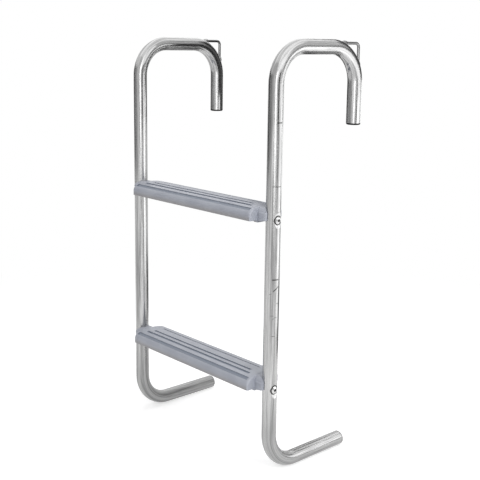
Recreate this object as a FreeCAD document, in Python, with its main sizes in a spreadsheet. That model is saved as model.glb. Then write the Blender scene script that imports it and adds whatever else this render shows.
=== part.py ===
import FreeCAD, Part
import os
import Sketcher

# Hook-on raft ladder of bent stainless tube with two moulded treads. Millimetres, Z up.
# The rails are bent in planes of constant X. The hooks and the feet both point to +Y, to the raft.
# The origin is midway between the hooks, on the line under their top runs, at the middle of their span.

doc = FreeCAD.newDocument("raft_ladder")
dim = doc.addObject("Spreadsheet::Sheet", "dim")

driving_sizes = [
    # rails
    ("tube_diameter", 25.4, "outside of the tube"),
    ("tube_wall", 1.5, "wall of the tube"),
    ("rail_spacing", 368, "tube centre to tube centre across the ladder"),
    ("frame_height", 716, "foot centre line up to the top centre line"),
    ("hook_depth", 190, "upright centre to hook leg centre"),
    ("hook_drop", 130, "top centre line down to the cut end of the hook leg"),
    ("foot_reach", 179, "upright centre to the cut end of the foot"),
    ("bend_radius", 60, "centre line radius of all bends"),
    # treads
    ("first_step", 144, "foot centre line up to the lower screws"),
    ("step_rise", 293, "lower screws up to the upper screws"),
    ("tread_front", 34, "rail centre forward to the nose"),
    ("tread_back", 41, "rail centre back to the rear edge"),
    ("tread_gap", 7.3, "end of the tread to the inner side of the tube"),
    ("crown_top", 21, "screw centre up to the highest line of the tread"),
    ("crown_radius", 130, "curve of the walking surface from front to back"),
    ("nose_radius", 7, "rounding along the nose and the rear edge"),
    ("corner_radius", 5, "rounding of the four corners seen from above"),
    ("lip_drop", 2, "screw centre down to the bottom of the nose"),
    ("keel_drop", 10, "screw centre down to the bottom of the end wall"),
    ("tread_wall", 3, "thickness of the moulding"),
    ("end_wall", 8, "thickness of the end walls"),
    ("neck_width", 28, "saddle neck from front to back"),
    ("neck_top", 15, "screw centre up to the top of the neck"),
    ("saddle_reach", 8, "tube centre to the tips of the saddle"),
    ("saddle_clearance", 0.15, "between the saddle and the tube"),
    ("rib_thickness", 2.5, "ribs under the tread"),
    ("rib_bottom", 3, "screw centre up to the lower edge of the ribs"),
    ("rib_pitch", 50, "from one cross rib to the next"),
    ("rib_count", 5, "cross ribs under each tread"),
    ("groove_depth", 1.6, "grip grooves below the walking surface"),
    ("overlap", 0.5, "ribs run this far into the walls they join"),
    ("cut_margin", 1, "cuts run this far past the faces they open"),
    # fasteners
    ("screw_diameter", 6, "shank"),
    ("screw_clearance", 0.3, "around the shank in each hole"),
    ("thread_clearance", 0.05, "between the nut and the shank"),
    ("head_diameter", 12.5, "pan head"),
    ("head_rim", 1.3, "straight side of the head"),
    ("head_height", 3.2, "head at its middle"),
    ("recess_length", 5.2, "arms of the cross recess"),
    ("recess_width", 1.3, "arms of the cross recess"),
    ("recess_depth", 1.8, "below the top of the head"),
    ("tip_length", 1.5, "shank beyond the nut"),
    ("nut_width", 10, "across the flats"),
    ("nut_thickness", 5, ""),
    ("nut_clearance", 0.15, "beside the nut in its pocket"),
    ("pocket_wall", 3, "cheeks of the nut pocket"),
    ("pocket_depth", 8, "length of the nut pocket"),
    # pressed seats for the screw heads
    ("seat_depth", 2.2, "tube side down to the flat of the pressed seat"),
    ("seat_radius", 7, "flat of the pressed seat"),
    ("press_radius", 40, "round sides of the pressed seat"),
    # rope loops on the hooks
    ("rod_diameter", 5, "bent rod of the rope loops"),
    ("rod_offset", 6.5, "rod centre outside the tube centre lines"),
    ("rod_bend", 7, "centre line radius of the loop corner"),
    ("weld_length", 16, "weld bead along the rod"),
    ("weld_width", 8.6, "weld bead across the rod"),
    # plugs
    ("plug_thickness", 3, "flange beyond the tube end, fully rounded"),
    ("plug_stem", 14, "stem inside the tube"),
    ("plug_wall", 2.5, "wall of the stem"),
    ("plug_clearance", 0.1, "between the stem and the bore"),
]
for row, (alias, value, note) in enumerate(driving_sizes, start=1):
    dim.set("A%d" % row, str(value))
    dim.set("B%d" % row, alias.replace("_", " "))
    dim.set("C%d" % row, note)
    dim.setAlias("A%d" % row, alias)

# From front to back: each groove's middle behind the nose, its width, and its distance from the tread's ends
grooves = [
    ("groove_one", 7, 6, 6),
    ("groove_two", 20.5, 5.5, 17),
    ("groove_three", 32, 4.5, 25),
    ("groove_four", 60, 2, 25),
]
for row, (alias, place, width, stop) in enumerate(grooves, start=len(driving_sizes) + 1):
    for column, name, value in (("A", "place", place), ("B", "width", width), ("C", "stop", stop)):
        dim.set("%s%d" % (column, row), str(value))
        dim.setAlias("%s%d" % (column, row), alias + "_" + name)
doc.recompute()

# Places worked out from the driving sizes
RAIL_X = "dim.rail_spacing / 2"
RAIL_Y = "-dim.hook_depth / 2"
LEG_Y = "dim.hook_depth / 2"
TOP_Z = "dim.tube_diameter / 2"
FOOT_Z = "(dim.tube_diameter / 2 - dim.frame_height)"
FOOT_END_Y = "(dim.foot_reach - dim.hook_depth / 2)"
LEG_END_Z = "(dim.tube_diameter / 2 - dim.hook_drop)"
TUBE_R = "dim.tube_diameter / 2"
BORE_R = "(dim.tube_diameter / 2 - dim.tube_wall)"
STEP_Z = {
    "lower": FOOT_Z + " + dim.first_step",
    "upper": FOOT_Z + " + dim.first_step + dim.step_rise",
}
BEND_Y = "(dim.hook_depth / 2 - dim.bend_radius)"
BEND_Z = "(dim.tube_diameter / 2 - dim.bend_radius)"
TREAD_HALF = "(dim.rail_spacing / 2 - dim.tube_diameter / 2 - dim.tread_gap)"
NUT_SEAT_X = "(" + TREAD_HALF + " - dim.end_wall)"
HEAD_SEAT_X = "(dim.rail_spacing / 2 + dim.tube_diameter / 2 - dim.seat_depth)"
CROWN_Y = "((dim.tread_back - dim.tread_front) / 2)"

X_AXIS = FreeCAD.Vector(1, 0, 0)
Y_AXIS = FreeCAD.Vector(0, 1, 0)
Z_AXIS = FreeCAD.Vector(0, 0, 1)
SIDEWAYS = FreeCAD.Rotation(FreeCAD.Vector(1, 1, 1), 120)
SIDES = (("left", -1), ("right", 1))
NEAR = 0.01  # closest match of an edge's place or direction


def rail_x(side):
    return "%d * %s" % (side, RAIL_X)


def measure(formula):
    """Value of a formula in the sheet's sizes."""
    return float(dim.evalExpression(formula))


def bind(thing, **formulas):
    """Tie properties to formulas; Placement_Base_x stands for Placement.Base.x."""
    for name, formula in formulas.items():
        thing.setExpression(name.replace("_", "."), formula)


def put(thing, x, y, z, rotation=None):
    """Place a sub-part by formulas."""
    if rotation:
        thing.Placement = FreeCAD.Placement(FreeCAD.Vector(), rotation)
    bind(thing, Placement_Base_x=x, Placement_Base_y=y, Placement_Base_z=z)


def add(kind, name, **properties):
    """New object of the document with its plain properties set."""
    thing = doc.addObject(kind, name)
    for key, value in properties.items():
        setattr(thing, key, value)
    return thing


def body_sketch(body, role, name, offset=None):
    """Sketch on one of the body's own origin planes, moved along its normal."""
    sketch = body.newObject("Sketcher::SketchObject", name)
    plane = [feature for feature in body.Origin.OriginFeatures if feature.Role == role][0]
    sketch.AttachmentSupport = [(plane, "")]
    sketch.MapMode = "FlatFace"
    if offset:
        sketch.setExpression("AttachmentOffset.Base.z", offset)
    return sketch


def constrain(sketch, *constraints):
    for constraint in constraints:
        sketch.addConstraint(Sketcher.Constraint(*constraint))


def dimension(sketch, name, formula, kind, *where):
    """Named dimension with the formula's value, tied to the formula."""
    index = sketch.addConstraint(Sketcher.Constraint(kind, *where, measure(formula)))
    sketch.renameConstraint(index, name)
    sketch.setExpression("Constraints." + name, formula)


def locate(sketch, name, formula, kind, geometry, point):
    """Distance of a point from the sketch's origin, on either side of it."""
    if measure(formula) < 0:
        dimension(sketch, name, "-(" + formula + ")", kind, geometry, point, -1, 1)
    else:
        dimension(sketch, name, formula, kind, -1, 1, geometry, point)


def at(x, y):
    return FreeCAD.Vector(x, y, 0)


def line(sketch, start, end):
    return sketch.addGeometry(Part.LineSegment(at(*start), at(*end)), False)


def arc(sketch, centre, radius, first, last):
    """Arc that runs anticlockwise from the first to the last point."""
    circle = Part.Circle(at(*centre), Z_AXIS, radius)
    ends = (circle.parameter(at(*first)), circle.parameter(at(*last)))
    return sketch.addGeometry(Part.ArcOfCircle(circle, *ends), False)


def circle(sketch, radius, x="0", y="0"):
    geometry = Part.Circle(at(measure(x), measure(y)), Z_AXIS, measure(radius))
    index = sketch.addGeometry(geometry, False)
    dimension(sketch, "round", radius, "Radius", index)
    locate(sketch, "across", x, "DistanceX", index, 3)
    locate(sketch, "along", y, "DistanceY", index, 3)


def rectangle(sketch, left, right, bottom, top):
    x0, x1, y0, y1 = measure(left), measure(right), measure(bottom), measure(top)
    corners = [(x0, y0), (x1, y0), (x1, y1), (x0, y1)]
    edges = [line(sketch, corners[i], corners[(i + 1) % 4]) for i in range(4)]
    for i in range(4):
        constrain(sketch, ("Coincident", edges[i], 2, edges[(i + 1) % 4], 1))
        constrain(sketch, ("Vertical" if i % 2 else "Horizontal", edges[i]))
    locate(sketch, "left", left, "DistanceX", edges[0], 1)
    locate(sketch, "right", right, "DistanceX", edges[0], 2)
    locate(sketch, "bottom", bottom, "DistanceY", edges[0], 1)
    locate(sketch, "top", top, "DistanceY", edges[2], 1)


def straight_edges(feature, axis, test):
    """Names of the straight edges along an axis whose middle passes the test."""
    names = []
    for number, edge in enumerate(feature.Shape.Edges, start=1):
        if edge.Curve.TypeId != "Part::GeomLine" or abs(edge.Curve.Direction.dot(axis)) < 1 - NEAR:
            continue
        if test(edge.CenterOfMass):
            names.append("Edge%d" % number)
    return names


# Rails


def rail_path(label, x):
    """Centre line of one rail from the foot, up the upright and over the hook."""
    sketch = add("Sketcher::SketchObject", label + "_path")
    put(sketch, x, "0", "0", SIDEWAYS)
    rail, leg, top, foot = measure(RAIL_Y), measure(LEG_Y), measure(TOP_Z), measure(FOOT_Z)
    bend = measure("dim.bend_radius")
    low_run = line(sketch, (measure(FOOT_END_Y), foot), (rail + bend, foot))
    low_bend = arc(sketch, (rail + bend, foot + bend), bend, (rail, foot + bend), (rail + bend, foot))
    upright = line(sketch, (rail, foot + bend), (rail, top - bend))
    front_bend = arc(sketch, (rail + bend, top - bend), bend, (rail + bend, top), (rail, top - bend))
    top_run = line(sketch, (rail + bend, top), (leg - bend, top))
    rear_bend = arc(sketch, (leg - bend, top - bend), bend, (leg, top - bend), (leg - bend, top))
    hook_leg = line(sketch, (leg, top - bend), (leg, measure(LEG_END_Z)))
    constrain(
        sketch,
        ("Tangent", low_run, 2, low_bend, 2),
        ("Tangent", low_bend, 1, upright, 1),
        ("Tangent", upright, 2, front_bend, 2),
        ("Tangent", front_bend, 1, top_run, 1),
        ("Tangent", top_run, 2, rear_bend, 2),
        ("Tangent", rear_bend, 1, hook_leg, 1),
        ("Horizontal", low_run),
        ("Vertical", upright),
        ("Horizontal", top_run),
        ("Vertical", hook_leg),
        ("Equal", low_bend, front_bend),
        ("Equal", low_bend, rear_bend),
    )
    dimension(sketch, "bend_radius", "dim.bend_radius", "Radius", low_bend)
    dimension(sketch, "frame_height", "dim.frame_height", "DistanceY", low_run, 1, top_run, 1)
    dimension(sketch, "hook_depth", "dim.hook_depth", "DistanceX", upright, 1, hook_leg, 1)
    dimension(sketch, "foot_reach", "dim.foot_reach", "DistanceX", upright, 1, low_run, 1)
    dimension(sketch, "hook_drop", "dim.hook_drop", "DistanceY", hook_leg, 2, top_run, 1)
    locate(sketch, "rail_place", RAIL_Y, "DistanceX", upright, 1)
    locate(sketch, "top_place", TOP_Z, "DistanceY", top_run, 1)
    return sketch


def sweep(label, path, radius, x, y, z):
    """Round bar of one radius along a path that starts at the given place and runs along Y there."""
    profile = add("Sketcher::SketchObject", label + "_profile")
    put(profile, x, y, z, FreeCAD.Rotation(X_AXIS, 90))
    circle(profile, radius)
    doc.recompute()
    edges = ["Edge%d" % (i + 1) for i in range(len(path.Shape.Edges))]
    return add("Part::Sweep", label, Sections=[profile], Spine=(path, edges), Solid=True)


def press_die(label, growth, z, side):
    """Round-nosed die with a flat tip that points into the tube, grown by the wall or not."""
    die = add("Part::Sphere", label)
    sag = "(dim.press_radius - sqrt(dim.press_radius ^ 2 - dim.seat_radius ^ 2))"
    reach = "(dim.press_radius - %s + %s)" % (sag, growth)
    radius = "(dim.press_radius + %s)" % growth
    bind(die, Radius=radius, Angle1="-asin(%s / %s)" % (reach, radius))
    centre = "(%s + dim.press_radius - %s)" % (HEAD_SEAT_X, sag)
    put(die, "%d * %s" % (side, centre), RAIL_Y, z, FreeCAD.Rotation(Y_AXIS, 90 * side))
    return die


def make_rail(name, side):
    label = "rail_" + name
    x = rail_x(side)
    path = rail_path(label, x)
    outside = sweep(label + "_outside", path, TUBE_R, x, FOOT_END_Y, FOOT_Z)
    inside = sweep(label + "_inside", path, BORE_R, x, FOOT_END_Y, FOOT_Z)
    for step, z in STEP_Z.items():
        tag = label + "_" + step
        pressed = add("Part::Cut", tag + "_pressed", Base=outside)
        pressed.Tool = press_die(tag + "_die", "0", z, side)
        hollow = add("Part::Cut", tag + "_hollow", Base=inside)
        hollow.Tool = press_die(tag + "_backing", "dim.tube_wall", z, side)
        outside, inside = pressed, hollow
    rail = add("Part::Cut", label + "_tube", Base=outside, Tool=inside)
    for step, z in STEP_Z.items():
        drill = add("Part::Cylinder", label + "_" + step + "_drill")
        bind(drill, Radius="dim.screw_diameter / 2 + dim.screw_clearance", Height="2 * dim.tube_diameter")
        put(drill, x + " - dim.tube_diameter", RAIL_Y, z, FreeCAD.Rotation(Y_AXIS, 90))
        rail = add("Part::Cut", label + "_" + step + "_drilled", Base=rail, Tool=drill)
    rail.Label = label
    return rail, doc.getObject(label + "_outside")


# Rope loops


def loop_path(label, x):
    """Bent rod round the rear corner of a hook; both ends run into the tube's bend."""
    sketch = add("Sketcher::SketchObject", label + "_path")
    put(sketch, x, "0", "0", SIDEWAYS)
    reach = "sqrt((dim.bend_radius + dim.tube_diameter / 2) ^ 2"
    reach += " - (dim.bend_radius + dim.rod_offset + dim.rod_diameter / 2) ^ 2)"
    first = BEND_Y + " + " + reach
    last = BEND_Z + " + " + reach
    top = TOP_Z + " + dim.rod_offset"
    back = LEG_Y + " + dim.rod_offset"
    y0, z1, z0, y1, bend = (measure(f) for f in (first, last, top, back, "dim.rod_bend"))
    over = line(sketch, (y0, z0), (y1 - bend, z0))
    corner = arc(sketch, (y1 - bend, z0 - bend), bend, (y1, z0 - bend), (y1 - bend, z0))
    down = line(sketch, (y1, z0 - bend), (y1, z1))
    constrain(
        sketch,
        ("Tangent", over, 2, corner, 2),
        ("Tangent", corner, 1, down, 1),
        ("Horizontal", over),
        ("Vertical", down),
    )
    dimension(sketch, "rod_bend", "dim.rod_bend", "Radius", corner)
    locate(sketch, "first_place", first, "DistanceX", over, 1)
    locate(sketch, "over_place", top, "DistanceY", over, 1)
    locate(sketch, "last_place", last, "DistanceY", down, 2)
    locate(sketch, "down_place", back, "DistanceX", down, 2)
    return sketch, first, top


def make_loop(name, side, tube):
    label = "tie_loop_" + name
    x = rail_x(side)
    path, first, top = loop_path(label, x)
    rod = sweep(label + "_rod", path, "dim.rod_diameter / 2", x, first, top)
    loop = add("Part::Cut", label + "_fitted", Base=rod, Tool=tube)
    loop.Label = label
    touch = "sqrt((dim.bend_radius + dim.tube_diameter / 2) ^ 2 - (dim.bend_radius + dim.rod_offset) ^ 2)"
    places = {
        "top": (BEND_Y + " + " + touch, TOP_Z + " + dim.rod_offset", "Radius3", "Radius1"),
        "back": (LEG_Y + " + dim.rod_offset", BEND_Z + " + " + touch, "Radius1", "Radius3"),
    }
    welds = []
    for end, (y, z, along, across) in places.items():
        tag = "loop_weld_" + name + "_" + end
        bead = add("Part::Ellipsoid", tag + "_bead")
        bead.setExpression(along, "dim.weld_length / 2")
        bead.setExpression(across, "dim.weld_width / 2")
        bead.setExpression("Radius2", "dim.weld_width / 2")
        put(bead, x, y, z)
        around = add("Part::Cut", tag + "_around", Base=bead, Tool=rod)
        weld = add("Part::Cut", tag + "_fitted", Base=around, Tool=tube)
        weld.Label = tag
        welds.append(weld)
    return [loop] + welds


# Treads, each in its own frame: X along the tread, Y back from the rail centre, Z up from the screws


def arched(sketch, left, right, bottom, radius, sides=()):
    """Outline with a crowned top between two upright sides; sides are the corners of its foot."""
    x0, x1, y0 = measure(left), measure(right), measure(bottom)
    middle = measure(CROWN_Y)
    curve = measure(radius)
    centre_z = "dim.crown_top - dim.crown_radius"
    height = measure(centre_z) + (curve ** 2 - ((x1 - x0) / 2) ** 2) ** 0.5
    front = line(sketch, (x0, y0), (x0, height))
    crown = arc(sketch, (middle, measure(centre_z)), curve, (x1, height), (x0, height))
    rear = line(sketch, (x1, height), (x1, y0))
    foot = [(x1, y0)] + [(measure(a), measure(b)) for a, b in sides] + [(x0, y0)]
    under = [line(sketch, foot[i], foot[i + 1]) for i in range(len(foot) - 1)]
    constrain(
        sketch,
        ("Coincident", front, 2, crown, 2),
        ("Coincident", crown, 1, rear, 1),
        ("Coincident", rear, 2, under[0], 1),
        ("Coincident", under[-1], 2, front, 1),
        ("Vertical", front),
        ("Vertical", rear),
        ("Horizontal", front, 2, rear, 1),
    )
    for i in range(len(under) - 1):
        constrain(sketch, ("Coincident", under[i], 2, under[i + 1], 1))
    dimension(sketch, "crown", radius, "Radius", crown)
    locate(sketch, "crown_centre", centre_z, "DistanceY", crown, 3)
    locate(sketch, "front_place", left, "DistanceX", front, 1)
    locate(sketch, "rear_place", right, "DistanceX", rear, 2)
    locate(sketch, "front_foot", bottom, "DistanceY", front, 1)
    locate(sketch, "rear_foot", bottom, "DistanceY", rear, 2)
    for i, (a, b) in enumerate(sides):
        locate(sketch, "keel_across_%d" % i, a, "DistanceX", under[i], 2)
        locate(sketch, "keel_down_%d" % i, b, "DistanceY", under[i], 2)


def body_feature(body, kind, name, sketch, length, symmetric=False, reverse=False):
    feature = body.newObject("PartDesign::" + kind, name)
    feature.Profile = sketch
    feature.SideType = "Symmetric" if symmetric else "One side"
    feature.Reversed = reverse
    feature.setExpression("Length", length)
    return feature


def round_edges(body, name, radius, base, axis, test):
    """Fillet of the straight edges along an axis that pass the test, and of what runs on from them."""
    doc.recompute()
    fillet = body.newObject("PartDesign::Fillet", name)
    fillet.Base = (base, straight_edges(base, axis, test))
    fillet.setExpression("Radius", radius)
    return fillet


def make_tread(name):
    label = "tread_" + name
    body = add("PartDesign::Body", label + "_body", Label=label)
    front, back = "-dim.tread_front", "dim.tread_back"
    half_neck = "dim.neck_width / 2"

    section = body_sketch(body, "YZ_Plane", label + "_section")
    keel = [(half_neck, "-dim.keel_drop"), ("-" + half_neck, "-dim.keel_drop")]
    arched(section, front, back, "-dim.lip_drop", "dim.crown_radius", keel)
    block = body_feature(body, "Pad", label + "_block", section, "2 * " + TREAD_HALF, symmetric=True)
    end_x = measure(TREAD_HALF)

    def on_shoulder(point):
        return point.z > 0

    def on_corner(point):
        return abs(abs(point.x) - end_x) < NEAR

    nose = round_edges(body, label + "_nose", "dim.nose_radius", block, X_AXIS, on_shoulder)
    round_edges(body, label + "_corners", "dim.corner_radius", nose, Z_AXIS, on_corner)

    hollow = body_sketch(body, "YZ_Plane", label + "_hollow")
    inner_front = front + " + dim.tread_wall"
    inner_back = back + " - dim.tread_wall"
    open_foot = "-dim.keel_drop - dim.cut_margin"
    arched(hollow, inner_front, inner_back, open_foot, "dim.crown_radius - dim.tread_wall")
    cavity = body_feature(body, "Pocket", label + "_cavity", hollow, "2 * " + NUT_SEAT_X, symmetric=True)
    ceiling = measure("dim.crown_top - dim.tread_wall")
    inner_y = (measure(inner_front), measure(inner_back))

    def in_ceiling_corner(point):
        return 0 < point.z < ceiling and min(abs(point.y - y) for y in inner_y) < NEAR

    inner_radius = "dim.nose_radius - dim.tread_wall"
    round_edges(body, label + "_soffit", inner_radius, cavity, X_AXIS, in_ceiling_corner)

    for alias, *_ in grooves:
        place, width, stop = ("dim.%s_%s" % (alias, word) for word in ("place", "width", "stop"))
        place = "(%s - dim.tread_front)" % place
        groove = body_sketch(body, "YZ_Plane", label + "_" + alias)
        surface = "(dim.crown_top - dim.crown_radius + sqrt(dim.crown_radius ^ 2 - (%s - %s) ^ 2))"
        surface = surface % (place, CROWN_Y)
        rectangle(
            groove,
            place + " - " + width + " / 2",
            place + " + " + width + " / 2",
            surface + " - dim.groove_depth",
            "dim.crown_top + dim.cut_margin",
        )
        groove_length = "2 * (%s - %s)" % (TREAD_HALF, stop)
        body_feature(body, "Pocket", label + "_" + alias + "_cut", groove, groove_length, symmetric=True)

    rib_start = "-(dim.rib_count - 1) * dim.rib_pitch / 2 - dim.rib_thickness / 2"
    cross = body_sketch(body, "YZ_Plane", label + "_cross_rib", rib_start)
    arched(
        cross,
        inner_front + " - dim.overlap",
        inner_back + " + dim.overlap",
        "dim.rib_bottom",
        "dim.crown_radius - dim.tread_wall + dim.overlap",
    )
    rib = body_feature(body, "Pad", label + "_rib", cross, "dim.rib_thickness")
    doc.recompute()
    ribs = body.newObject("PartDesign::LinearPattern", label + "_ribs")
    ribs.Originals = [rib]
    ribs.Direction = ([f for f in body.Origin.OriginFeatures if f.Role == "X_Axis"][0], [""])
    ribs.setExpression("Length", "(dim.rib_count - 1) * dim.rib_pitch")
    ribs.setExpression("Occurrences", "dim.rib_count")
    body.Tip = ribs
    doc.recompute()

    spine = body_sketch(body, "YZ_Plane", label + "_spine")
    half_rib = "dim.rib_thickness / 2"
    soffit = "dim.crown_top - dim.tread_wall + dim.overlap"
    rectangle(spine, CROWN_Y + " - " + half_rib, CROWN_Y + " + " + half_rib, "dim.rib_bottom", soffit)
    spine_length = "2 * (%s + dim.overlap)" % NUT_SEAT_X
    body_feature(body, "Pad", label + "_long_rib", spine, spine_length, symmetric=True)

    neck = body_sketch(body, "YZ_Plane", label + "_neck", NUT_SEAT_X)
    rectangle(neck, "-" + half_neck, half_neck, "-dim.keel_drop", "dim.neck_top")
    neck_length = "dim.rail_spacing / 2 - dim.saddle_reach - " + NUT_SEAT_X
    neck_pad = body_feature(body, "Pad", label + "_neck_pad", neck, neck_length)

    cheeks = body_sketch(body, "YZ_Plane", label + "_cheeks", NUT_SEAT_X)
    half_cheeks = "(dim.nut_width / 2 + dim.pocket_wall)"
    rectangle(cheeks, "-" + half_cheeks, half_cheeks, "-dim.keel_drop", soffit)
    cheek_pad = body_feature(body, "Pad", label + "_cheek_pad", cheeks, "dim.pocket_depth", reverse=True)

    slot = body_sketch(body, "YZ_Plane", label + "_nut_slot", NUT_SEAT_X)
    half_slot = "(dim.nut_width / 2 + dim.nut_clearance)"
    slot_top = "dim.nut_width / sqrt(3) + dim.nut_clearance"
    rectangle(slot, "-" + half_slot, half_slot, open_foot, slot_top)
    slot_depth = "dim.pocket_depth + dim.cut_margin"
    slot_cut = body_feature(body, "Pocket", label + "_nut_slot_cut", slot, slot_depth)

    hole = body_sketch(body, "YZ_Plane", label + "_hole", RAIL_X)
    circle(hole, "dim.screw_diameter / 2 + dim.screw_clearance")
    hole_length = "dim.rail_spacing / 2 - " + NUT_SEAT_X + " + dim.pocket_depth + dim.cut_margin"
    hole_cut = body_feature(body, "Pocket", label + "_hole_cut", hole, hole_length)

    saddle = body_sketch(body, "XY_Plane", label + "_saddle")
    circle(saddle, TUBE_R + " + dim.saddle_clearance", RAIL_X)
    saddle_height = "2 * (dim.neck_top + dim.keel_drop)"
    saddle_cut = body_feature(body, "Pocket", label + "_saddle_cut", saddle, saddle_height, symmetric=True)
    doc.recompute()

    both = body.newObject("PartDesign::Mirrored", label + "_both_ends")
    both.Originals = [neck_pad, cheek_pad, slot_cut, hole_cut, saddle_cut]
    both.MirrorPlane = ([f for f in body.Origin.OriginFeatures if f.Role == "YZ_Plane"][0], [""])
    body.Tip = both
    put(body, "0", RAIL_Y, STEP_Z[name])
    return body


# Fasteners, each in its own frame with the screw's axis along X


def make_screw(label, side, z):
    """Pan head screw; the underside of its head is at X = 0 and its shank runs to -X."""
    body = add("PartDesign::Body", label + "_body", Label=label)
    sketch = body_sketch(body, "XY_Plane", label + "_profile")
    length = HEAD_SEAT_X + " - " + NUT_SEAT_X + " + dim.nut_thickness + dim.tip_length"
    shank, head = measure("dim.screw_diameter / 2"), measure("dim.head_diameter / 2")
    rim, height, end = measure("dim.head_rim"), measure("dim.head_height"), -measure(length)
    rise = height - rim
    radius = (head ** 2 + rise ** 2) / (2 * rise)
    axis = line(sketch, (height, 0), (end, 0))
    tip = line(sketch, (end, 0), (end, shank))
    side_line = line(sketch, (end, shank), (0, shank))
    under = line(sketch, (0, shank), (0, head))
    edge = line(sketch, (0, head), (rim, head))
    dome = arc(sketch, (height - radius, 0), radius, (height, 0), (rim, head))
    constrain(
        sketch,
        ("Coincident", axis, 2, tip, 1),
        ("Coincident", tip, 2, side_line, 1),
        ("Coincident", side_line, 2, under, 1),
        ("Coincident", under, 2, edge, 1),
        ("Coincident", edge, 2, dome, 2),
        ("Coincident", dome, 1, axis, 1),
        ("PointOnObject", axis, 1, -1),
        ("Horizontal", axis),
        ("Vertical", tip),
        ("Horizontal", side_line),
        ("Vertical", under),
        ("Horizontal", edge),
        ("PointOnObject", dome, 3, -1),
        ("PointOnObject", under, 1, -2),
    )
    dimension(sketch, "shank_length", length, "DistanceX", tip, 1, -1, 1)
    dimension(sketch, "shank_radius", "dim.screw_diameter / 2", "DistanceY", tip, 1, tip, 2)
    dimension(sketch, "head_radius", "dim.head_diameter / 2", "DistanceY", -1, 1, under, 2)
    dimension(sketch, "head_rim", "dim.head_rim", "DistanceX", edge, 1, edge, 2)
    dimension(sketch, "head_height", "dim.head_height", "DistanceX", -1, 1, axis, 1)
    turned = body.newObject("PartDesign::Revolution", label + "_turned")
    turned.Profile = sketch
    turned.ReferenceAxis = (sketch, ["H_Axis"])
    turned.Angle = 360
    doc.recompute()
    arm, half = "dim.recess_length / 2", "dim.recess_width / 2"
    for tag, across, up in (("_level", arm, half), ("_upright", half, arm)):
        recess = body_sketch(body, "YZ_Plane", label + tag, "dim.head_height")
        rectangle(recess, "-" + across, across, "-" + up, up)
        body_feature(body, "Pocket", label + tag + "_cut", recess, "dim.recess_depth")
    rotation = FreeCAD.Rotation(Z_AXIS, 0 if side > 0 else 180)
    put(body, "%d * %s" % (side, HEAD_SEAT_X), RAIL_Y, z, rotation)
    return body


def make_nut(label, side, z):
    """Plain hexagon nut with two flats upright, against the end wall of the tread."""
    blank = add("Part::Prism", label + "_blank", Polygon=6)
    bind(blank, Circumradius="dim.nut_width / sqrt(3)", Height="dim.nut_thickness")
    bore = add("Part::Cylinder", label + "_bore")
    bind(bore, Radius="dim.screw_diameter / 2 + dim.thread_clearance", Height="dim.nut_thickness")
    nut = add("Part::Cut", label + "_cut", Base=blank, Tool=bore, Label=label)
    rotation = FreeCAD.Rotation(Y_AXIS, -90 * side)
    put(nut, "%d * %s" % (side, NUT_SEAT_X), RAIL_Y, z, rotation)
    return nut


# Plugs, each in its own frame: the tube's cut end is at Z = 0 and the stem stands up inside


def make_plug(label, x, y, z, rotation):
    body = add("PartDesign::Body", label + "_body", Label=label)
    sketch = body_sketch(body, "XZ_Plane", label + "_profile")
    flange, thick = measure(TUBE_R), measure("dim.plug_thickness")
    stem_formula = BORE_R + " - dim.plug_clearance"
    stem, height, wall = measure(stem_formula), measure("dim.plug_stem"), measure("dim.plug_wall")
    face = line(sketch, (0, -thick), (flange - thick, -thick))
    rim = arc(sketch, (flange - thick, 0), thick, (flange - thick, -thick), (flange, 0))
    seat = line(sketch, (flange, 0), (stem, 0))
    outer = line(sketch, (stem, 0), (stem, height))
    top = line(sketch, (stem, height), (stem - wall, height))
    inner = line(sketch, (stem - wall, height), (stem - wall, 0))
    floor = line(sketch, (stem - wall, 0), (0, 0))
    axis = line(sketch, (0, 0), (0, -thick))
    chain = [(rim, 2, seat, 1), (seat, 2, outer, 1), (outer, 2, top, 1)]
    chain += [(top, 2, inner, 1), (inner, 2, floor, 1), (floor, 2, axis, 1), (axis, 2, face, 1)]
    for joint in chain:
        constrain(sketch, ("Coincident", *joint))
    constrain(
        sketch,
        ("Tangent", face, 2, rim, 1),
        ("Horizontal", face),
        ("Horizontal", seat),
        ("Vertical", outer),
        ("Horizontal", top),
        ("Vertical", inner),
        ("PointOnObject", floor, 1, -1),
        ("Coincident", axis, 1, -1, 1),
        ("PointOnObject", axis, 2, -2),
        ("PointOnObject", seat, 1, -1),
        ("PointOnObject", rim, 3, -1),
    )
    dimension(sketch, "flange_radius", TUBE_R, "DistanceX", -1, 1, seat, 1)
    dimension(sketch, "flange_thickness", "dim.plug_thickness", "DistanceY", axis, 2, -1, 1)
    dimension(sketch, "stem_radius", stem_formula, "DistanceX", -1, 1, outer, 1)
    dimension(sketch, "stem_height", "dim.plug_stem", "DistanceY", -1, 1, outer, 2)
    dimension(sketch, "stem_wall", "dim.plug_wall", "DistanceX", top, 2, top, 1)
    turned = body.newObject("PartDesign::Revolution", label + "_turned")
    turned.Profile = sketch
    turned.ReferenceAxis = (sketch, ["V_Axis"])
    turned.Angle = 360
    put(body, x, y, z, rotation)
    return body


# Assembly

pieces = []
for name, side in SIDES:
    x = rail_x(side)
    rail, tube = make_rail(name, side)
    pieces.append(rail)
    pieces += make_loop(name, side, tube)
    pieces.append(make_plug("hook_plug_" + name, x, LEG_Y, LEG_END_Z, FreeCAD.Rotation()))
    pieces.append(make_plug("foot_plug_" + name, x, FOOT_END_Y, FOOT_Z, FreeCAD.Rotation(X_AXIS, 90)))
for step, z in STEP_Z.items():
    pieces.append(make_tread(step))
    for name, side in SIDES:
        pieces.append(make_screw("screw_%s_%s" % (step, name), side, z))
        pieces.append(make_nut("nut_%s_%s" % (step, name), side, z))
doc.recompute()

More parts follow.
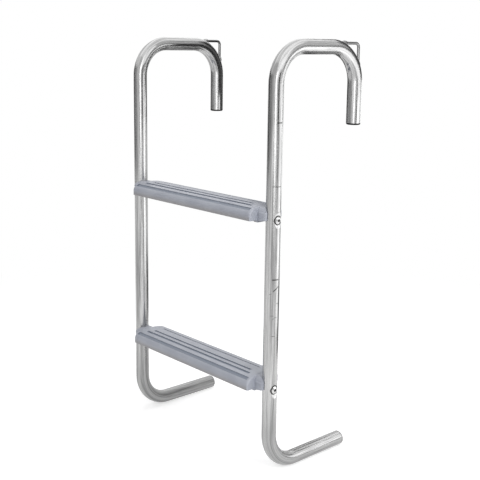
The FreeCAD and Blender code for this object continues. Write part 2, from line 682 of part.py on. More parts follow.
for thing in doc.Objects:
    if "Invalid" in thing.State or "Error" in thing.State:
        raise RuntimeError("failed feature: " + thing.Name)
for piece in pieces:
    if piece.Shape.isNull() or not piece.Shape.isValid():
        raise RuntimeError("bad solid: " + piece.Label)

os.makedirs("parts", exist_ok=True)
for piece in pieces:
    piece.Shape.exportStep("parts/" + piece.Label + ".step")
    print("%-24s solids %d  volume %.0f" % (piece.Label, len(piece.Shape.Solids), piece.Shape.Volume))
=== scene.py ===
import math

import bmesh
import bpy
from mathutils import Matrix, Vector


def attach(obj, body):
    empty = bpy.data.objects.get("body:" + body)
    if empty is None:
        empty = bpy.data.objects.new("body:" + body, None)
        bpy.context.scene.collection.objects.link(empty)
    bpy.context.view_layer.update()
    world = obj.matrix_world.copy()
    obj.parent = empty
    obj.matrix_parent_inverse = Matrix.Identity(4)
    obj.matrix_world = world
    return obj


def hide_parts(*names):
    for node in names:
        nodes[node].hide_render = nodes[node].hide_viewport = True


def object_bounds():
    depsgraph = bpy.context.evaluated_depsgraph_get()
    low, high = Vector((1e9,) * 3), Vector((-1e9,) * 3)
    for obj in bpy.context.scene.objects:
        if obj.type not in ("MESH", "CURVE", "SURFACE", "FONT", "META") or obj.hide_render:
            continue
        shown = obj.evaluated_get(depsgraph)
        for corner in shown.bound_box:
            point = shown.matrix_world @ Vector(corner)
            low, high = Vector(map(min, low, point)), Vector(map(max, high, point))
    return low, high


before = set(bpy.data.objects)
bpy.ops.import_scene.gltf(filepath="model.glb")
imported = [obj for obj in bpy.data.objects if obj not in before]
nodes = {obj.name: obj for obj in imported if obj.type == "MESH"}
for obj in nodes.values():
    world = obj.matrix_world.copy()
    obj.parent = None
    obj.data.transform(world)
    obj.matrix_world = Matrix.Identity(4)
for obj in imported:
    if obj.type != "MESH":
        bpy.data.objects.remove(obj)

cadLow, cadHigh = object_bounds()
print("frame loaded,", len(nodes), "nodes")

# Camera, placed from the edges of the rails in the photo
cameraSetup = {
    "place": (1.2097, -1.0947, 0.0170),  # metres
    "turn": 47.13,  # degrees about Z, away from looking along +Y
    "tip": 11.25,  # degrees down
    "roll": 0.957,  # degrees
    "focalPixels": 890.3,
    "centrePixel": (252.0, 220.0),
    "picture": 480,  # pixels
    "sensor": 36.0,  # millimetres
}


def addCamera(setup):
    turn, tip, roll = (math.radians(setup[key]) for key in ("turn", "tip", "roll"))
    right = Vector((math.cos(turn), math.sin(turn), 0))
    ahead = Vector((-math.sin(turn) * math.cos(tip), math.cos(turn) * math.cos(tip), -math.sin(tip)))
    up = right.cross(ahead)
    tiltedRight = math.cos(roll) * right + math.sin(roll) * up
    tiltedUp = math.cos(roll) * up - math.sin(roll) * right
    data = bpy.data.cameras.new("camera")
    data.sensor_width = setup["sensor"]
    data.lens = setup["focalPixels"] * setup["sensor"] / setup["picture"]
    middle = setup["picture"] / 2
    data.shift_x = (middle - setup["centrePixel"][0]) / setup["picture"]
    data.shift_y = (setup["centrePixel"][1] - middle) / setup["picture"]
    data.clip_start = 0.05
    camera = bpy.data.objects.new("camera", data)
    bpy.context.scene.collection.objects.link(camera)
    turned = Matrix((tiltedRight, tiltedUp, -ahead)).transposed().to_4x4()
    camera.matrix_world = Matrix.Translation(setup["place"]) @ turned
    bpy.context.scene.camera = camera


addCamera(cameraSetup)
bpy.context.scene.view_settings.view_transform = "Standard"
print("camera placed")

# Shader helpers


def addNode(tree, kind, inputs=None, **settings):
    node = tree.nodes.new(kind)
    for key, value in settings.items():
        setattr(node, key, value)
    for key, value in (inputs or {}).items():
        if isinstance(value, bpy.types.NodeSocket):
            tree.links.new(value, node.inputs[key])
        else:
            node.inputs[key].default_value = value
    return node


def calc(tree, operation, *values):
    return addNode(tree, "ShaderNodeMath", dict(enumerate(values)), operation=operation).outputs[0]


def remap(tree, value, low, high, newLow=0.0, newHigh=1.0):  # smooth, and held at both ends
    inputs = {0: value, 1: low, 2: high, 3: newLow, 4: newHigh}
    return addNode(tree, "ShaderNodeMapRange", inputs, interpolation_type="SMOOTHSTEP").outputs[0]


def blend(tree, share, first, second):  # colours
    inputs = {0: share, 6: first, 7: second}
    return addNode(tree, "ShaderNodeMix", inputs, data_type="RGBA").outputs[2]


def noise(tree, vector, scale, detail=3.0, rough=0.5):
    inputs = {"Vector": vector, "Scale": scale, "Detail": detail, "Roughness": rough}
    return addNode(tree, "ShaderNodeTexNoise", inputs).outputs["Fac"]


def grey(level):
    return (level, level, level, 1)


def newGroup(name, inputs, outputs):
    group = bpy.data.node_groups.new(name, "ShaderNodeTree")
    for socketName, value in inputs.items():
        kind = "NodeSocketVector" if isinstance(value, tuple) else "NodeSocketFloat"
        group.interface.new_socket(socketName, in_out="INPUT", socket_type=kind).default_value = value
    for socketName in outputs:
        group.interface.new_socket(socketName, in_out="OUTPUT", socket_type="NodeSocketFloat")
    return group, group.nodes.new("NodeGroupInput").outputs, group.nodes.new("NodeGroupOutput").inputs


def useGroup(tree, group, inputs=None):
    return addNode(tree, "ShaderNodeGroup", inputs, node_tree=group).outputs


def newMaterial(name):
    material = bpy.data.materials.new(name)
    material.use_nodes = True
    material.node_tree.nodes.clear()
    return material, material.node_tree


# Studio: pale floor, white surroundings, soft lamps, and cards that only reflections see
studioSetup = {
    "floorSize": 14.0,
    "floorGrey": 0.80,
    "floorLift": 0.46,  # glow that the camera and reflections see, so that the floor is white
    "whiteFrom": 0.7,  # metres from the ladder, where the floor starts to turn plain white
    "whiteTo": 1.5,
    "skyLight": 0.60,  # light from all round
    "lamps": [  # name, degrees from the camera's bearing, height, distance, width, power in watts
        ("keyLamp", 30, 1.0, 2.3, 1.1, 30),
        ("fillLamp", -60, 0.9, 2.6, 1.4, 9),
        ("topLamp", 150, 2.4, 1.2, 1.6, 12),
    ],
    "cards": [  # name, degrees from the camera's bearing, distance, width, lowest, highest, brightness
        ("frontStrip", 2, 3.2, 0.95, -0.60, 1.2, 3.6),
        ("frontGlow", 30, 3.6, 4.6, 0.75, 4.4, 2.1),
        ("darkStrip", 39, 3.0, 0.85, -0.60, 0.60, 0.03),
        ("sideStrip", 72, 0.68, 0.50, -0.66, -0.05, 2.4),
        ("sideWing", 118, 0.50, 0.30, -0.32, -0.05, 2.0),
        ("sideCard", 86, 3.0, 2.6, -0.10, 0.85, 0.30),
        ("lowCard", 89, 1.60, 0.60, -0.71, -0.12, 0.30),
        ("rearCard", 130, 0.60, 0.68, -0.20, 0.45, 0.05),
        ("leftGlow", -29, 3.2, 0.70, -0.70, 1.2, 1.3),
        ("leftGrey", -52, 3.2, 0.90, -0.70, 1.2, 0.80),
        ("leftDusk", -78, 3.2, 1.75, -0.70, 1.0, 0.42),
        ("leftCard", -118, 3.2, 2.6, -0.70, 0.80, 0.14),
        ("rearGlow", 165, 3.4, 5.5, 0.90, 3.8, 1.5),
    ],
    "ceiling": (2.4, 4.6, 1.5),  # height, width, brightness
    "darkFloor": ((-0.20, 0.85), (1.3, 0.70), 0.16),  # middle, sizes, brightness
    "floorGap": 0.002,  # between the floor and that card
    "flags": [  # beside the left rail and facing it: name, middle, sizes, brightness
        ("hookFlag", (-0.10, 0.235, -0.10), (0.23, 0.34), 0.11),
        ("topFlag", (-0.06, 0.12, -0.045), (0.13, 0.10), 0.05),
        ("footFlag", (-0.08, 0.12, -0.63), (0.28, 0.17), 0.32),
    ],
}


def seenDirectly(tree):
    path = addNode(tree, "ShaderNodeLightPath")
    either = calc(tree, "MAXIMUM", path.outputs["Is Camera Ray"], path.outputs["Is Glossy Ray"])
    return calc(tree, "MAXIMUM", either, path.outputs["Is Transmission Ray"])


def directionFrom(bearing):
    angle = math.radians(cameraSetup["turn"] + bearing)
    return Vector((math.sin(angle), -math.cos(angle), 0))


def addPanel(name, place, target, width, height, material):
    bpy.ops.mesh.primitive_plane_add(size=1)
    panel = bpy.context.object
    panel.name = name
    facing = (Vector(target) - Vector(place)).to_track_quat("Z", "Y").to_matrix().to_4x4()
    panel.data.transform(Matrix.Translation(place) @ facing @ Matrix.Diagonal((width, height, 1, 1)))
    panel.data.materials.append(material)
    return panel


def glowMaterial(name, level):
    material, tree = newMaterial(name)
    glow = addNode(tree, "ShaderNodeEmission", {"Color": grey(1.0), "Strength": level})
    addNode(tree, "ShaderNodeOutputMaterial", {"Surface": glow.outputs[0]})
    return material


def addCard(name, place, target, width, height, level):
    card = addPanel(name, place, target, width, height, glowMaterial(name, level))
    card.visible_camera = False
    card.visible_diffuse = False
    card.visible_transmission = False
    card.visible_shadow = False


def floorMaterial(setup):
    material, tree = newMaterial("paleFloor")
    seen = seenDirectly(tree)
    matt = addNode(tree, "ShaderNodeBsdfDiffuse", {"Color": grey(setup["floorGrey"])})
    lift = calc(tree, "MULTIPLY", seen, setup["floorLift"])
    glow = addNode(tree, "ShaderNodeEmission", {"Strength": lift})
    both = addNode(tree, "ShaderNodeAddShader", {0: matt.outputs[0], 1: glow.outputs[0]})
    place = addNode(tree, "ShaderNodeTexCoord").outputs["Object"]
    away = addNode(tree, "ShaderNodeVectorMath", {0: place}, operation="LENGTH").outputs["Value"]
    far = calc(tree, "MULTIPLY", seen, remap(tree, away, setup["whiteFrom"], setup["whiteTo"]))
    white = addNode(tree, "ShaderNodeEmission", {"Strength": 1.0})
    whole = addNode(tree, "ShaderNodeMixShader", {0: far, 1: both.outputs[0], 2: white.outputs[0]})
    addNode(tree, "ShaderNodeOutputMaterial", {"Surface": whole.outputs[0]})
    return material


def buildStudio(setup):
    world = bpy.data.worlds.new("whiteRoom")
    world.use_nodes = True
    bpy.context.scene.world = world
    world.node_tree.nodes.clear()
    level = remap(world.node_tree, seenDirectly(world.node_tree), 0.0, 1.0, setup["skyLight"], 1.0)
    sky = addNode(world.node_tree, "ShaderNodeBackground", {"Color": grey(1.0), "Strength": level})
    addNode(world.node_tree, "ShaderNodeOutputWorld", {"Surface": sky.outputs[0]})

    size = setup["floorSize"]
    addPanel("floor", (0, 0, cadLow.z), (0, 0, 0), size, size, floorMaterial(setup))

    middle = (cadLow + cadHigh) / 2
    for name, bearing, height, distance, width, power in setup["lamps"]:
        data = bpy.data.lights.new(name, "AREA")
        data.energy = power
        data.size = width
        lamp = bpy.data.objects.new(name, data)
        bpy.context.scene.collection.objects.link(lamp)
        lamp.location = directionFrom(bearing) * distance + Vector((0, 0, height))
        lamp.rotation_euler = (middle - lamp.location).to_track_quat("-Z", "Y").to_euler()
        lamp.visible_glossy = False

    for name, bearing, distance, width, low, high, level in setup["cards"]:
        place = directionFrom(bearing) * distance + Vector((0, 0, (low + high) / 2))
        addCard(name, place, (0, 0, place.z), width, high - low, level)
    height, width, level = setup["ceiling"]
    addCard("ceiling", (0, 0, height), (0, 0, 0), width, width, level)
    (x, y), (width, depth), level = setup["darkFloor"]
    addCard("darkFloor", (x, y, cadLow.z + setup["floorGap"]), (x, y, 1), width, depth, level)
    for name, (x, y, z), (width, height), level in setup["flags"]:
        addCard(name, (x, y, z), (x - 1, y, z), width, height, level)


buildStudio(studioSetup)
print("studio built")

# Where a point lies on the bent tubes: beside the plane of the bends, out from the run, and along it
tubeFlow = {
    "railX": 0.184,
    "halfDepth": 0.095,  # upright and hook leg from the middle of the hook
    "topZ": 0.0127,
    "footZ": -0.7033,
    "bend": 0.060,
    "splitZ": -0.35,  # the hook's bends count above this height and the foot's below it
    "railShift": 3.7,  # keeps the left rail's pattern from being the right one's mirror image
}


def roundedOffset(tree, y, outZ, setup):  # distance outside a run that turns one rounded corner
    outY = calc(tree, "SUBTRACT", y, setup["halfDepth"] - setup["bend"])
    squareY = calc(tree, "POWER", calc(tree, "MAXIMUM", outY, 0.0), 2.0)
    squareZ = calc(tree, "POWER", calc(tree, "MAXIMUM", outZ, 0.0), 2.0)
    outside = calc(tree, "SQRT", calc(tree, "ADD", squareY, squareZ))
    inside = calc(tree, "MINIMUM", calc(tree, "MAXIMUM", outY, outZ), 0.0)
    return calc(tree, "SUBTRACT", calc(tree, "ADD", outside, inside), setup["bend"])


def makeFlowGroup(setup):
    group, source, target = newGroup("tubeFlow", {"Position": (0.0, 0.0, 0.0)}, ("Beside", "Out", "Along"))
    part = addNode(group, "ShaderNodeSeparateXYZ", {0: source["Position"]}).outputs
    beside = calc(group, "SUBTRACT", calc(group, "ABSOLUTE", part["X"]), setup["railX"])
    hookZ = calc(group, "SUBTRACT", part["Z"], setup["topZ"] - setup["bend"])
    hook = roundedOffset(group, calc(group, "ABSOLUTE", part["Y"]), hookZ, setup)
    footZ = calc(group, "SUBTRACT", setup["footZ"] + setup["bend"], part["Z"])
    foot = roundedOffset(group, calc(group, "MULTIPLY", part["Y"], -1.0), footZ, setup)
    high = calc(group, "GREATER_THAN", part["Z"], setup["splitZ"])
    out = addNode(group, "ShaderNodeMix", {0: high, 2: foot, 3: hook}).outputs[0]
    shift = calc(group, "MULTIPLY", calc(group, "SIGN", part["X"]), setup["railShift"])
    along = calc(group, "ADD", calc(group, "ADD", part["Y"], part["Z"]), shift)
    for name, value in (("Beside", beside), ("Out", out), ("Along", along)):
        group.links.new(value, target[name])
    return group


# Draw lines along the tubes
streakPattern = {
    "bands": 300.0,  # scale round the tube
    "hairs": 1500.0,
    "run": 6.0,  # scale along the tube
    "hairRun": 5.0,  # times the bands' scale along the tube
    "bandRange": (0.33, 0.67),  # noise levels that become dark and light
    "hairRange": (0.35, 0.65),
}


def makeStreakGroup(setup):  # lengthwise bands and hairlines left by drawing and polishing
    inputs = {"Beside": 0.0, "Out": 0.0, "Along": 0.0}
    inputs.update(Bands=setup["bands"], Hairs=setup["hairs"], Run=setup["run"])
    group, source, target = newGroup("drawnStreaks", inputs, ("Band", "Hair"))

    def stretched(scale, run):
        sides = [calc(group, "MULTIPLY", source[name], scale) for name in ("Beside", "Out")]
        length = calc(group, "MULTIPLY", source["Along"], run)
        return addNode(group, "ShaderNodeCombineXYZ", {0: sides[0], 1: sides[1], 2: length}).outputs[0]

    band = noise(group, stretched(source["Bands"], source["Run"]), 1.0, 2.0)
    hairRun = calc(group, "MULTIPLY", source["Run"], setup["hairRun"])
    hair = noise(group, stretched(source["Hairs"], hairRun), 1.0, 2.0)
    group.links.new(remap(group, band, *setup["bandRange"]), target["Band"])
    group.links.new(remap(group, hair, *setup["hairRange"]), target["Hair"])
    return group


# Grain of moulded and cast surfaces
grainPattern = {
    "cloudScale": 0.015,  # times the grain's scale
    "cloudRange": (0.3, 0.7),
}


def makeGrainGroup(setup):  # fine spark-eroded mould grain with soft larger clouds
    inputs = {"Position": (0.0, 0.0, 0.0), "Scale": 1500.0}
    group, source, target = newGroup("mouldGrain", inputs, ("Grain", "Cloud"))
    fine = noise(group, source["Position"], source["Scale"], 2.0, 0.6)
    cloudScale = calc(group, "MULTIPLY", source["Scale"], setup["cloudScale"])
    cloud = noise(group, source["Position"], cloudScale, 3.0)
    group.links.new(fine, target["Grain"])
    group.links.new(remap(group, cloud, *setup["cloudRange"]), target["Cloud"])
    return group


# Lines of the screws, in metres: heights of both steps, and the rails' middle from front to back
screwLines = {"Lower": -0.5593, "Upper": -0.2663, "RailY": -0.095}


def makeScrewGroup():  # distance from the nearest screw's line, which runs along X
    inputs = {"Position": (0.0, 0.0, 0.0), "Lower": 0.0, "Upper": 0.0, "RailY": 0.0}
    group, source, target = newGroup("screwLine", inputs, ("Radius",))
    part = addNode(group, "ShaderNodeSeparateXYZ", {0: source["Position"]}).outputs
    beside = calc(group, "ABSOLUTE", calc(group, "SUBTRACT", part["Y"], source["RailY"]))
    squareY = calc(group, "POWER", beside, 2.0)
    rows = []
    for name in ("Lower", "Upper"):
        above = calc(group, "ABSOLUTE", calc(group, "SUBTRACT", part["Z"], source[name]))
        rows.append(calc(group, "SQRT", calc(group, "ADD", squareY, calc(group, "POWER", above, 2.0))))
    group.links.new(calc(group, "MINIMUM", *rows), target["Radius"])
    return group


# Edges of the scuffs
scuffEdge = {
    "across": (0.4, 1.3),  # the scuff fades between these shares of its half width
    "ends": 8.0,  # degrees over which each end fades
}


def makeScuffGroup(setup):  # one short scuff across an upright, by height and by angle from the front
    inputs = {"Angle": 0.0, "Height": 0.0, "Place": 0.0, "Rise": 0.0, "From": 0.0, "To": 0.0, "Half": 0.0006}
    group, source, target = newGroup("scuffMark", inputs, ("Mask",))
    climb = calc(group, "MULTIPLY", calc(group, "SUBTRACT", source["Angle"], source["From"]), source["Rise"])
    line = calc(group, "ADD", source["Place"], climb)
    away = calc(group, "ABSOLUTE", calc(group, "SUBTRACT", source["Height"], line))
    share = calc(group, "DIVIDE", away, source["Half"])
    thin = calc(group, "SUBTRACT", 1.0, remap(group, share, *setup["across"]))
    begun = remap(group, calc(group, "SUBTRACT", source["Angle"], source["From"]), 0.0, setup["ends"])
    ended = remap(group, calc(group, "SUBTRACT", source["To"], source["Angle"]), 0.0, setup["ends"])
    whole = calc(group, "MULTIPLY", thin, calc(group, "MULTIPLY", begun, ended))
    group.links.new(whole, target["Mask"])
    return group


flowGroup = makeFlowGroup(tubeFlow)
streakGroup = makeStreakGroup(streakPattern)
grainGroup = makeGrainGroup(grainPattern)
scuffGroup = makeScuffGroup(scuffEdge)
screwGroup = makeScrewGroup()
print("shader groups built")

# Stainless tube
tubeFinish = {
    "dark": 0.24,
    "light": 0.60,
    "bandShare": 0.6,
    "hairShare": 0.4,
    "scuffTone": 0.07,
    "roughLow": 0.12,
    "roughHigh": 0.27,
    "hairDepth": 0.00002,
    "seatShadeRing": (0.0058, 0.0066, 0.0078, 0.0088),  # painted shade of the pressed seat's edge round each screw, by its radius
    # tone of the painted shade, for the seat rings and the low tube
    "paintedShadeTone": 0.04,
    "shadeAndDullRange": (-0.55, -0.64),  # painted shade darkens the tube between these heights, standing in for darker reflections, and the left foot turns rougher
    "lowShadeShare": 0.22,
    "dullRough": 0.24,
    "scuffs": [  # on the right rail: height, rise per degree, from and to in degrees, half width, strength
        (-0.1074, 0.0, 56, 112, 0.0011, 1.0),
        (-0.2105, 0.0, 32, 112, 0.0010, 0.7),
        (-0.3658, 0.0, 42, 104, 0.0013, 0.9),
        (-0.3862, 0.00017, 52, 106, 0.0013, 0.95),
        (-0.3904, 0.0, 20, 46, 0.0010, 0.35),
        (-0.4066, 0.0, 80, 112, 0.0012, 0.45),
        (-0.4275, 0.0, 34, 68, 0.0009, 0.4),
        (-0.4352, 0.00026, 52, 74, 0.0010, 0.55),
        (-0.4305, 0.0, 70, 94, 0.0010, 0.5),
        (-0.4630, 0.0, 47, 82, 0.0009, 0.6),
    ],
}


def makeTubeMaterial(setup):
    material, tree = newMaterial("polishedTube")
    place = addNode(tree, "ShaderNodeTexCoord").outputs["Object"]
    flow = useGroup(tree, flowGroup, {"Position": place})
    streak = useGroup(tree, streakGroup, {name: flow[name] for name in ("Beside", "Out", "Along")})
    bands = calc(tree, "MULTIPLY", streak["Band"], setup["bandShare"])
    hairs = calc(tree, "MULTIPLY", streak["Hair"], setup["hairShare"])
    colour = blend(tree, calc(tree, "ADD", bands, hairs), grey(setup["dark"]), grey(setup["light"]))

    part = addNode(tree, "ShaderNodeSeparateXYZ", {0: place}).outputs
    turn = calc(tree, "MULTIPLY", calc(tree, "ARCTAN2", flow["Beside"], flow["Out"]), 180 / math.pi)
    onRight = calc(tree, "MULTIPLY", calc(tree, "GREATER_THAN", part["X"], 0.0),
                   calc(tree, "LESS_THAN", part["Y"], 0.0))
    scuffed = 0.0
    for height, rise, start, end, half, strength in setup["scuffs"]:
        inputs = {"Angle": turn, "Height": part["Z"], "Place": height, "Rise": rise}
        mask = useGroup(tree, scuffGroup, {**inputs, "From": start, "To": end, "Half": half})["Mask"]
        scuffed = calc(tree, "MAXIMUM", scuffed, calc(tree, "MULTIPLY", mask, strength))
    scuffed = calc(tree, "MULTIPLY", scuffed, onRight)
    colour = blend(tree, scuffed, colour, grey(setup["scuffTone"]))

    # Painted shade: a dark ring round each screw, where the pressed seat's edge lies in shadow
    radius = useGroup(tree, screwGroup, {"Position": place, **screwLines})["Radius"]
    inner, innerFull, outerFull, outer = setup["seatShadeRing"]
    seatShade = remap(tree, radius, inner, innerFull)
    seatShade = calc(tree, "MULTIPLY", seatShade, remap(tree, radius, outer, outerFull))
    seatShade = calc(tree, "MULTIPLY", seatShade, calc(tree, "GREATER_THAN", flow["Beside"], 0.0))
    colour = blend(tree, seatShade, colour, grey(setup["paintedShadeTone"]))

    # Painted shade: the tube darkens low down, standing in for darker reflections there; the left foot also
    # turns rougher
    lowShadeAndDull = remap(tree, part["Z"], *setup["shadeAndDullRange"])
    colour = blend(tree, calc(tree, "MULTIPLY", lowShadeAndDull, setup["lowShadeShare"]), colour, grey(setup["paintedShadeTone"]))
    onLeft = calc(tree, "LESS_THAN", part["X"], 0.0)

    rough = remap(tree, streak["Band"], 0.0, 1.0, setup["roughLow"], setup["roughHigh"])
    extra = calc(tree, "MULTIPLY", calc(tree, "MULTIPLY", lowShadeAndDull, onLeft), setup["dullRough"])
    rough = calc(tree, "ADD", rough, extra)
    relief = calc(tree, "SUBTRACT", streak["Hair"], scuffed)
    bump = addNode(tree, "ShaderNodeBump", {"Height": relief, "Distance": setup["hairDepth"]})
    inputs = {"Base Color": colour, "Metallic": 1.0, "Roughness": rough}
    shader = addNode(tree, "ShaderNodeBsdfPrincipled", inputs)
    tree.links.new(bump.outputs[0], shader.inputs["Normal"])
    addNode(tree, "ShaderNodeOutputMaterial", {"Surface": shader.outputs[0]})
    return material


# Small bright steel: rope loops, welds, screws and nuts
steelFinish = {
    "kinds": {  # dark, light, roughness, grain scale, shade in the screws' recesses
        "rod": (0.14, 0.42, 0.28, 900.0, 0.0),
        "weld": (0.26, 0.52, 0.38, 1500.0, 0.0),
        "fastener": (0.36, 0.66, 0.24, 2200.0, 0.95),
    },
    "recessShade": (0.0022, 0.0032),  # full inside the first radius, gone at the second
    "recessTone": 0.02,
    "grainDepth": 0.00003,
}


def makeSteelMaterial(name, setup):
    dark, light, rough, scale, recess = setup["kinds"][name]
    material, tree = newMaterial(name + "Steel")
    place = addNode(tree, "ShaderNodeTexCoord").outputs["Object"]
    grain = useGroup(tree, grainGroup, {"Position": place, "Scale": scale})
    colour = blend(tree, grain["Cloud"], grey(dark), grey(light))
    if recess:
        radius = useGroup(tree, screwGroup, {"Position": place, **screwLines})["Radius"]
        full, gone = setup["recessShade"]
        middle = calc(tree, "MULTIPLY", remap(tree, radius, gone, full), recess)
        colour = blend(tree, middle, colour, grey(setup["recessTone"]))
    bump = addNode(tree, "ShaderNodeBump", {"Height": grain["Grain"], "Distance": setup["grainDepth"]})
    inputs = {"Base Color": colour, "Metallic": 1.0, "Roughness": rough}
    shader = addNode(tree, "ShaderNodeBsdfPrincipled", inputs)
    tree.links.new(bump.outputs[0], shader.inputs["Normal"])
    addNode(tree, "ShaderNodeOutputMaterial", {"Surface": shader.outputs[0]})
    return material


# Moulded treads, in millimetres from the line of the screws, where X runs along the tread from its middle
millimetre = 0.001
closeness = 0.01  # places closer than this count as one
treadShape = {
    "half": 164.0,  # middle to the end faces
    "front": -34.0,
    "back": 41.0,
    "top": 21.0,
    "crownMiddle": 3.5,
    "crownRadius": 130.0,
    "crownStrips": 14,
    "lip": -2.5,
    "keel": -6.2,  # lowest line of the end walls
    "wall": 3.0,
    "endWall": 8.0,
    "ceiling": 14.0,
    "ribBottom": 3.0,
    "ribHalf": 1.25,
    "ribs": (-100.0, -50.0, 0.0, 50.0, 100.0),
    "neckBottom": -5.5,  # at the end wall, and then at the tube
    "neckTip": -0.6,
    "neckRoot": 4.0,  # how far a neck starts inside the end wall's inner face
    "neckHalf": 17.0,
    "neckReach": 183.0,
    "neckStep": 0.5,  # neck below the crown
    "tubeX": 184.0,
    "saddleRadius": 12.85,
    "holeRadius": 3.3,
    "nutHalf": 5.15,  # nut pocket from front to back, and its top
    "nutTop": 5.92,
    "nutDepth": 8.0,
    "cheekHalf": 8.0,
    "grooves": (  # each one's middle, its width and how far it reaches
        (-27.0, 6.0, 158.0),
        (-13.5, 5.5, 147.0),
        (-2.0, 4.5, 139.0),
        (19.0, 3.0, 139.0),
    ),
    "grooveDepth": 1.6,
    "rounding": {  # radius and segments
        "nose": (10.0, 8),
        "end": (4.0, 4),
        "lip": (1.5, 3),
        "neckTop": (10.0, 8),
        "neckSide": (3.0, 4),
        "ceiling": (7.0, 5),
    },
    "roundSides": 64,  # sides of the saddles and holes
    "clear": 2.0,  # cutting tools stand this far out of the plastic
    "overlap": 1.0,  # joined blocks, and the nut pocket's start
    "pocketOverlap": 0.5,  # pockets between the ribs run this far into the hollow below them
    "toolLength": 80.0,
    "sharpOver": 32.0,  # degrees between faces
}

# Blue-grey plastic, with painted shade in the grooves and a painted brownish shade low on the nose
treadFinish = {
    "body": (0.335, 0.352, 0.405, 1),
    "pale": (0.43, 0.45, 0.50, 1),
    # brownish painted shade and warm reflection low on the nose, where it faces down
    "noseShade": (0.25, 0.235, 0.23, 1),
    # colour of the painted shade in the grooves
    "groove": (0.19, 0.215, 0.265, 1),
    "cloudShare": 0.5,
    "noseShadeShare": 0.75,
    "noseShadeRange": (0.009, -0.003),  # painted shade low on the nose, in metres above the screws' line, from none to full
    "plainEnd": 0.1615,  # beyond this the painted shade low on the nose stops
    "grooveFront": -0.126,  # the painted groove shade lies between these places, in metres
    "grooveBack": -0.066,
    "grooveEnd": 0.1585,
    "grooveStart": (0.0003, 0.0011),  # depths between which the painted groove shade comes, and goes again
    "grooveStop": (0.0026, 0.0021),
    "grainScale": 1600.0,
    "roughness": 0.42,
    "specular": 0.6,
    "grainDepth": 0.00006,
}


def makeTreadMaterial(setup, shape):
    material, tree = newMaterial("treadPlastic")
    place = addNode(tree, "ShaderNodeTexCoord").outputs["Object"]
    part = addNode(tree, "ShaderNodeSeparateXYZ", {0: place}).outputs
    lower, upper = screwLines["Lower"], screwLines["Upper"]
    onUpper = calc(tree, "GREATER_THAN", part["Z"], (lower + upper) / 2)
    step = calc(tree, "ADD", calc(tree, "MULTIPLY", onUpper, upper - lower), lower)
    height = calc(tree, "SUBTRACT", part["Z"], step)

    # Depth below the walking surface, which is a crown that turns down into the nose
    noseRadius, _ = shape["rounding"]["nose"]
    noseRadius *= millimetre
    noseY = screwLines["RailY"] + shape["front"] * millimetre + noseRadius
    crownY = screwLines["RailY"] + shape["crownMiddle"] * millimetre
    back = calc(tree, "ABSOLUTE", calc(tree, "SUBTRACT", part["Y"], crownY))
    fall = calc(tree, "DIVIDE", calc(tree, "POWER", back, 2.0), 2 * shape["crownRadius"] * millimetre)
    into = calc(tree, "MAXIMUM", calc(tree, "SUBTRACT", noseY, part["Y"]), 0.0)
    left = calc(tree, "MAXIMUM", calc(tree, "SUBTRACT", noseRadius ** 2, calc(tree, "POWER", into, 2.0)), 0.0)
    nose = calc(tree, "SUBTRACT", noseRadius, calc(tree, "SQRT", left))
    surface = calc(tree, "SUBTRACT", calc(tree, "SUBTRACT", shape["top"] * millimetre, fall), nose)
    depth = calc(tree, "SUBTRACT", surface, height)
    # Painted shade in the grooves, by depth below the walking surface
    sunk = remap(tree, depth, *setup["grooveStart"])
    sunk = calc(tree, "MULTIPLY", sunk, remap(tree, depth, *setup["grooveStop"]))
    between = calc(tree, "MULTIPLY", calc(tree, "GREATER_THAN", part["Y"], setup["grooveFront"]),
                   calc(tree, "LESS_THAN", part["Y"], setup["grooveBack"]))
    within = calc(tree, "LESS_THAN", calc(tree, "ABSOLUTE", part["X"]), setup["grooveEnd"])
    grooved = calc(tree, "MULTIPLY", sunk, calc(tree, "MULTIPLY", between, within))

    grain = useGroup(tree, grainGroup, {"Position": place, "Scale": setup["grainScale"]})
    # Painted shade, brownish, low on the nose where it faces down; left off the ends
    inside = calc(tree, "LESS_THAN", calc(tree, "ABSOLUTE", part["X"]), setup["plainEnd"])
    low = calc(tree, "MULTIPLY", remap(tree, height, *setup["noseShadeRange"]), inside)
    cloud = calc(tree, "MULTIPLY", grain["Cloud"], setup["cloudShare"])
    colour = blend(tree, cloud, setup["body"], setup["pale"])
    colour = blend(tree, calc(tree, "MULTIPLY", low, setup["noseShadeShare"]), colour, setup["noseShade"])
    colour = blend(tree, grooved, colour, setup["groove"])
    bump = addNode(tree, "ShaderNodeBump", {"Height": grain["Grain"], "Distance": setup["grainDepth"]})
    inputs = {"Base Color": colour, "Roughness": setup["roughness"], "Specular IOR Level": setup["specular"]}
    shader = addNode(tree, "ShaderNodeBsdfPrincipled", inputs)
    tree.links.new(bump.outputs[0], shader.inputs["Normal"])
    addNode(tree, "ShaderNodeOutputMaterial", {"Surface": shader.outputs[0]})
    return material


def addBlock(bm, low, high):
    middle = [(a + b) / 2 for a, b in zip(low, high)]
    sizes = [b - a for a, b in zip(low, high)]
    place = Matrix.Translation(middle) @ Matrix.Diagonal((*sizes, 1))
    return bmesh.ops.create_cube(bm, size=1, matrix=place)["verts"]


def roundEdges(bm, rounding, test):
    radius, segments = rounding
    edges = [edge for edge in bm.edges if test(edge.verts[0].co, edge.verts[1].co)]
    bmesh.ops.bevel(bm, geom=edges, offset=radius, offset_type="OFFSET", segments=segments,
                    profile=0.5, affect="EDGES", material=-1)


def cutAcross(bm, place, normal):
    geometry = bm.verts[:] + bm.edges[:] + bm.faces[:]
    bmesh.ops.bisect_plane(bm, geom=geometry, dist=0.0001, plane_co=place, plane_no=normal)


def near(a, b):
    return abs(a - b) < closeness


def crownDrop(y, setup):
    radius = setup["crownRadius"]
    return radius - math.sqrt(radius ** 2 - (y - setup["crownMiddle"]) ** 2)


